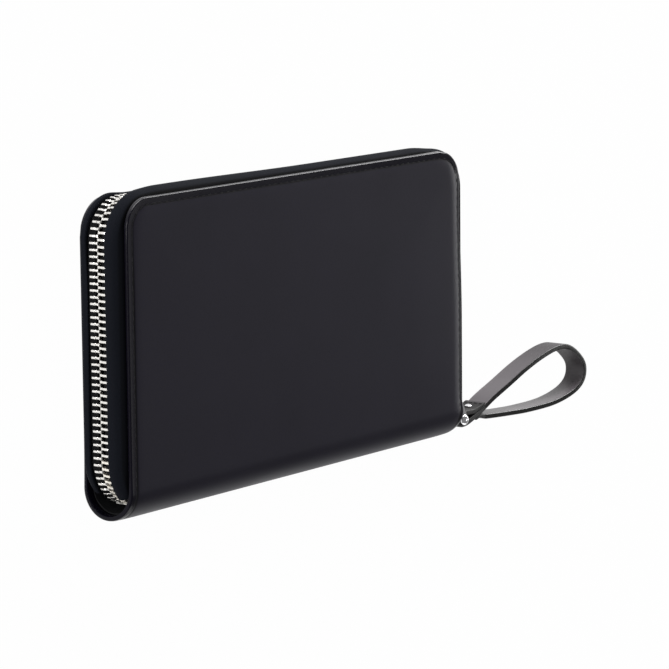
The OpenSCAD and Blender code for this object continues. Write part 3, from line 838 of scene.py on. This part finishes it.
def slimTeeth(node, body):
    # every tooth is narrowed along the zip about its own middle, less at its tip, which flares out to mesh;
    # heads are drawn back and rows moved out, except down the right side, where they pass through the slider
    bm = bmesh.new()
    bm.from_mesh(bpy.data.objects[node].data)
    bmesh.ops.remove_doubles(bm, verts=bm.verts, dist=1e-6)
    bmesh.ops.dissolve_limit(bm, angle_limit=math.radians(1), verts=bm.verts[:], edges=bm.edges[:])
    for sign in (1, -1):
        level = (0, 0, (midZ + sign * teeth["flare"]) * mm)
        everything = bm.verts[:] + bm.edges[:] + bm.faces[:]
        bmesh.ops.bisect_plane(bm, geom=everything, plane_co=level, plane_no=(0, 0, 1), dist=1e-7)
    mesh = bpy.data.meshes.new(node + "_slim")
    bm.to_mesh(mesh)
    bm.free()
    v = np.empty(len(mesh.vertices) * 3)
    mesh.vertices.foreach_get("co", v)
    v = v.reshape(-1, 3) / mm
    edges = np.empty(len(mesh.edges) * 2, int)
    mesh.edges.foreach_get("vertices", edges)
    tooth = islands(edges.reshape(-1, 2), len(v))
    middle = np.stack([np.bincount(tooth, v[:, k]) / np.bincount(tooth) for k in range(3)], 1)
    way = zipPath(tapeEnd, zipLine["tailA"])
    away = np.hypot(*(middle[:, None, k] - way[None, :, k] for k in (0, 1)))
    angle = np.radians(way[np.argmin(away, 1), 2])[tooth]
    along = np.stack([-np.sin(angle), np.cos(angle), 0 * angle], 1)
    offset = ((v - middle[tooth]) * along).sum(1)
    row = np.sign(middle[tooth, 2] - midZ)
    out = row * (v[:, 2] - midZ)
    width = np.interp(out, [-teeth["flare"], teeth["flare"]], [teeth["tip"], teeth["slim"]])
    v = v - along * (offset * (1 - width))[:, None]
    out = np.where(out < teeth["neck"], teeth["neck"] + (out - teeth["neck"]) * teeth["head"], out)
    apart = teeth["apart"] * smooth(*teeth["together"], middle[tooth, 0])
    v[:, 2] = midZ + row * (out + apart)
    mesh.vertices.foreach_set("co", (v * mm).ravel())
    obj = bpy.data.objects.new(node + "_slim", mesh)
    bpy.context.scene.collection.objects.link(obj)
    dress(obj, tailMetal if node == "tail_teeth" else toothMetal, body)
    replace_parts(obj, node)
    softenEdges(obj, teeth["softEdge"], segments=1)


for body, nodes in teethOf.items():
    for node in nodes:
        slimTeeth(node, body)
print("teeth slimmed")

# strap: one strip, folded round the pin from the top, out round the loop and back under the neck
strap = dict(
    pinX=halfW + 10.6, pinY=-halfH + 5.15, width=11, thick=2.4, wrapR=2.48, wrapTurn=(95, 265), edgeR=0.6,
    paint=(0.45, 0.2), skive=0.45, skiveRun=9,
    # the far turn and the neck get painted shade
    turnX=(34, 82), turnY=(-3, 4), turnShade=0.6, neckX=(21, 15), neckShade=0.95,
    foldOver=[(18.2, 5.0), (15, 3.75), (12.4, 2.9), (10, 2.4), (6, 2.45), (2.5, 2.48)],
    run=[
        (2.5, -2.45), (5, -1.95), (7.5, -1.2), (10, -0.35), (12.4, 0.45), (15, 1.4), (20.8, 4), (26.9, 6.6),
        (39.6, 11.1), (53.8, 16.3), (68, 20.4), (80.4, 22.6), (89.7, 21.9), (98.2, 17.4), (104.2, 11.1),
        (103.1, 4.2), (94.8, -0.5), (78.2, -3.4), (56.7, -3.7), (39.6, -2.9), (21, -1.6), (17.5, -1.0),
        (14.5, -0.6), (11.5, -1.5),
    ],
    seamAt=(16.6, 4.36), seamSlope=0.37, seamLift=0.82, seamHalf=4.2, seamCount=4, seamThread=2.2,
    points=600, easings=4, facePoints=7,
)


def throughPoints(p, n):
    # smooth curve through the points: each stretch is a cubic with slopes from its neighbours
    q = np.concatenate([p[:1], p, p[-1:]])
    t = (np.arange(n) / n)[None, :, None]
    a, b, c, d = (q[k:len(q) - 3 + k][:, None] for k in range(4))
    cubic = 2 * b + (c - a) * t + (2 * a - 5 * b + 4 * c - d) * t**2 + (3 * b - a - 3 * c + d) * t**3
    return np.concatenate([cubic.reshape(-1, 2) / 2, p[-1:]])


def evenly(p, count):
    # the same line with points at equal spacing, and the length up to each
    s = np.r_[0, np.cumsum(np.hypot(*np.diff(p, axis=0).T))]
    at = np.linspace(0, s[-1], count)
    return np.stack([np.interp(at, s, p[:, k]) for k in (0, 1)], 1), at


def strapCentre():
    # fold over the pin, round its near side and then the loop, eased a little
    over = throughPoints(np.array(strap["foldOver"]), 10)
    run = throughPoints(np.array(strap["run"]), 12)
    line = np.concatenate([over, arcPoints(0, 0, strap["wrapR"], *strap["wrapTurn"], 24), run])
    line, at = evenly(line, strap["points"])
    for _ in range(strap["easings"]):
        line[1:-1] = 0.5 * line[1:-1] + 0.25 * (line[2:] + line[:-2])
    return line, at


def strapMesh():
    # rounded strip section carried along the line, shaved thin at both ends. "border" marks the painted
    # edges; the far turn and the neck get painted shade, darker and duller
    line, at = strapCentre()
    ahead = np.gradient(line, axis=0)
    ahead /= np.linalg.norm(ahead, axis=1)[:, None]
    out = np.stack([-ahead[:, 1], ahead[:, 0]], 1)
    fromEnd = np.minimum(at, at[-1] - at)
    thin = strap["skive"] + (1 - strap["skive"]) * smooth(0, strap["skiveRun"], fromEnd)
    w, t, r = strap["width"] / 2, strap["thick"] / 2, strap["edgeR"]
    faceZ = np.linspace(w - r, r - w, strap["facePoints"] + 2)[1:-1]
    prof = np.concatenate([
        arcPoints(t - r, w - r, r, 0, 90, 6),
        arcPoints(r - t, w - r, r, 90, 180, 6),
        np.stack([np.full_like(faceZ, -t), faceZ], 1),
        arcPoints(r - t, r - w, r, 180, 270, 6),
        arcPoints(t - r, r - w, r, 270, 360, 6),
        np.stack([np.full_like(faceZ, t), faceZ[::-1]], 1),
    ])
    pos = line[:, None, :] + out[:, None, :] * prof[None, :, :1] * thin[:, None, None]
    v = np.concatenate([pos, np.broadcast_to(prof[None, :, 1:], (*pos.shape[:2], 1))], -1)
    v = v + [strap["pinX"], strap["pinY"], midZ]
    rows, cols = v.shape[:2]
    paint = np.tile(smooth(*strap["paint"], w - np.abs(prof[:, 1])), rows)
    # painted shade inside the far turn and at the neck under the fold
    turn = smooth(*strap["turnX"], line[:, 0]) * smooth(*strap["turnY"], line[:, 1])
    neck = smooth(*strap["neckX"], line[:, 0])
    dark = np.repeat(np.maximum(strap["turnShade"] * turn, strap["neckShade"] * neck), cols)
    faces = gridFaces(rows, cols, wrapCols=True).tolist()
    faces += [list(range(cols)), list(range((rows - 1) * cols, rows * cols))[::-1]]
    return putMesh("wrist_loop", v.reshape(-1, 3), faces, sharp=60, marks=dict(border=paint, shade=dark))


loopPiece = dress(strapMesh(), strapLeather, "strap")
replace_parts(loopPiece, "wrist_strap")


def strapSeam(c):
    # a short row of threads across the end that is folded over, lifted off its slope
    count = c["seamCount"]
    z = np.linspace(-c["seamHalf"], c["seamHalf"], count)
    out = np.array([-math.sin(c["seamSlope"]), math.cos(c["seamSlope"])])
    x, y = np.array(c["seamAt"]) + out * c["seamLift"] + [c["pinX"], c["pinY"]]
    places = np.stack([np.full(count, x), np.full(count, y), midZ + z], 1)
    across = np.tile([0.0, 0.0, 1.0], (count, 1))
    outward = np.tile([out[0], out[1], 0.0], (count, 1))
    return layStitches("strap_stitches", places, across, outward, length=c["seamThread"], slant=0)


dress(strapSeam(strap), paleThread, "strap")
print("strap made")

# linings: cloth from the middle of the spine along its inside and on over the flat
linings = dict(
    spineR=11.42, flatZ=9.4, thick=0.6, sideIn=4.2, topIn=4, cornerR=12, stepEnd=9, flat=(0.2266, 0.1327),
    arcRows=24, stepRows=10, flatRows=40, cols=70,
)


def liningSheet(c):
    # the cloth leaves the round of the spine in a soft step and its top corners are round
    top = halfH - c["topIn"]
    a = np.radians(np.linspace(0, 90, c["arcRows"]))
    step = np.linspace(1, c["stepEnd"], c["stepRows"])
    rest = np.linspace(c["stepEnd"] + 2, top - spineY, c["flatRows"])
    drop = c["spineR"] - c["flatZ"]
    y = np.r_[spineY - c["spineR"] * np.cos(a), spineY + step, spineY + rest]
    level = c["flatZ"] + np.r_[drop * smooth(c["stepEnd"], 0, step), 0 * rest]
    z = np.r_[c["spineR"] * np.sin(a), level] + midZ
    angle = np.r_[a, np.full_like(level, math.pi / 2)][:, None]
    half = halfW - c["sideIn"]
    cut = np.clip((y - top) / c["cornerR"] + 1, 0, 1)
    wide = 1 - (1 - np.sqrt(np.clip(1 - cut**2, 0, 1))) * c["cornerR"] / half
    X = np.linspace(-half, half, c["cols"])[None, :] * wide[:, None]
    sheets = []
    for t in (c["thick"] / 2, -c["thick"] / 2):
        yOut = y[:, None] - np.cos(angle) * t + 0 * X
        zOut = z[:, None] + np.sin(angle) * t + 0 * X
        sheets.append(np.stack([X, yOut, zOut], -1))
    return np.concatenate([s.reshape(-1, 3) for s in sheets]), shellFaces(*X.shape)


liningV, liningF = liningSheet(linings)
frontLining = dress(putMesh("front_cloth", liningV, liningF, sharp=60), liningCloth)
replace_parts(frontLining, "front_lining", "spine_lining")
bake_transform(frontLining)
backV = liningV * [1, 1, -1] + [0, 0, 2 * midZ]
backLining = dress(putMesh("back_cloth", backV, liningF, sharp=60), liningCloth)
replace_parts(backLining, "back_lining")
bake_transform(backLining)
print("linings laid")

# pocket seams
pocketThread = dict(edgeIn=2.5, topIn=1.5, pitch=3.4, length=2.3, width=0.45)


def pocketSeam(node, body, side):
    # threads inside the two ends and the lower edge of a pocket, on its open side
    edge, top = pocketThread["edgeIn"], pocketThread["topIn"]
    lo, hi = (np.array(c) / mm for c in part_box(node))
    x0, x1, y0, y1 = lo[0] + edge, hi[0] - edge, lo[1] + edge, hi[1] - top
    z = lo[2] if side > 0 else hi[2]
    runs = [(x0, y1, x0, y0), (x0, y0, x1, y0), (x1, y0, x1, y1)]
    places, ahead = [], []
    for ax, ay, bx, by in runs:
        length = math.hypot(bx - ax, by - ay)
        count = int(length / pocketThread["pitch"])
        t = (np.arange(count) + 0.5) / count
        places.append(np.stack([ax + (bx - ax) * t, ay + (by - ay) * t, np.full_like(t, z)], 1))
        ahead.append(np.tile([(bx - ax) / length, (by - ay) / length, 0], (len(t), 1)))
    places, ahead = np.concatenate(places), np.concatenate(ahead)
    outward = np.tile([0, 0, -side], (len(places), 1))
    size = dict(length=pocketThread["length"], width=pocketThread["width"])
    obj = layStitches(node + "_stitches", places, ahead, outward, **size)
    dress(obj, threadCloth, body)


for node in ("document_pocket", "passport_pocket"):
    pocketSeam(node, "back", -1)
for number in (1, 2, 3, 4):
    pocketSeam(f"card_panel_{number}", "front", 1)

# solids that stay, with their finish and the width of their softened edges
finishes = {
    "zip_metal": (toothMetal, 0.16),
    "slider_metal": (fittingMetal, 0.22),
    "pocket_leather": (pocketLeather, 0.3),
    "board": (greyBoard, 0.2),
}
for part in frame["record"]["subparts"]:
    if part["material_slot"] not in finishes or part["node"] in sum(teethOf.values(), ()):
        continue
    material, width = finishes[part["material_slot"]]
    obj = bpy.data.objects[part["node"]]
    obj.data.materials.clear()
    obj.data.materials.append(material)
    softenEdges(obj, width)
print("pockets sewn and solids finished")

# floor: half its width and its depth under the wallet in metres, its own tone and how white it shows
ground = dict(half=5.0, below=0.0003, tone=(0.9, 0.9, 0.9), white=0.985)


def makeFloor(g):
    # a pale floor that shows white to the eye and in reflections, and still takes the shadow
    m = bpy.data.materials.new("paleFloor")
    m.use_nodes = True
    tree = m.node_tree
    tree.nodes.clear()
    out = tree.nodes.new("ShaderNodeOutputMaterial")
    plain = tree.nodes.new("ShaderNodeBsdfDiffuse")
    plug(tree, g["tone"], plain.inputs["Color"])
    glow = tree.nodes.new("ShaderNodeEmission")
    path = tree.nodes.new("ShaderNodeLightPath")
    mirrored = mathNode(tree, "MAXIMUM", path.outputs["Is Glossy Ray"], path.outputs["Is Transmission Ray"])
    seen = mathNode(tree, "MAXIMUM", path.outputs["Is Camera Ray"], mirrored)
    mix = tree.nodes.new("ShaderNodeMixShader")
    tree.links.new(mathNode(tree, "MULTIPLY", seen, g["white"]), mix.inputs["Fac"])
    tree.links.new(plain.outputs[0], mix.inputs[1])
    tree.links.new(glow.outputs[0], mix.inputs[2])
    tree.links.new(mix.outputs[0], out.inputs["Surface"])
    mesh = bpy.data.meshes.new("floor")
    s, z = g["half"], -g["below"]
    mesh.from_pydata([(-s, -s, z), (s, -s, z), (s, s, z), (-s, s, z)], [], [(0, 1, 2, 3)])
    floor = bpy.data.objects.new("floor", mesh)
    floor.data.materials.append(m)
    bpy.context.scene.collection.objects.link(floor)


makeFloor(ground)
airLight = 0.22

# lamps: places and sizes in metres, power in watts
lamps = dict(
    overhead=dict(place=(0.0, 1.7, 0.3), size=(1.6, 0.5), power=16),
    edge=dict(place=(1.28, 0.94, 0.3), size=(0.9, 0.4), power=12),
    side=dict(place=(1.6, 0.08, 0.36), size=(0.9, 0.34), power=4),
    left=dict(place=(-1.4, 0.3, 0.16), size=(0.7, 0.3), power=7),
    front=dict(place=(0.95, -0.2, 1.5), size=(0.9, 0.9), power=3.5),
    below=dict(place=(0.3, -1.45, 0.4), size=(1.6, 0.6), power=4.5),
)


def hangLamp(name, place, size, power):
    # a soft rectangle that faces the wallet
    data = bpy.data.lights.new(name, "AREA")
    data.shape = "RECTANGLE"
    data.size, data.size_y = size
    data.energy = power
    back = np.array(place) - [0, 0, midZ * mm]
    back /= np.linalg.norm(back)
    side = np.cross([0, 0, 1], back)
    side /= np.linalg.norm(side)
    standAt(bpy.data.objects.new(name, data), side, np.cross(back, side), back, place)


for name, lamp in lamps.items():
    hangLamp(name, **lamp)
world = bpy.data.worlds.new("air")
bpy.context.scene.world = world
world.use_nodes = True
world.node_tree.nodes["Background"].inputs["Color"].default_value = (1, 1, 1, 1)
world.node_tree.nodes["Background"].inputs["Strength"].default_value = airLight
print("floor and lamps set")
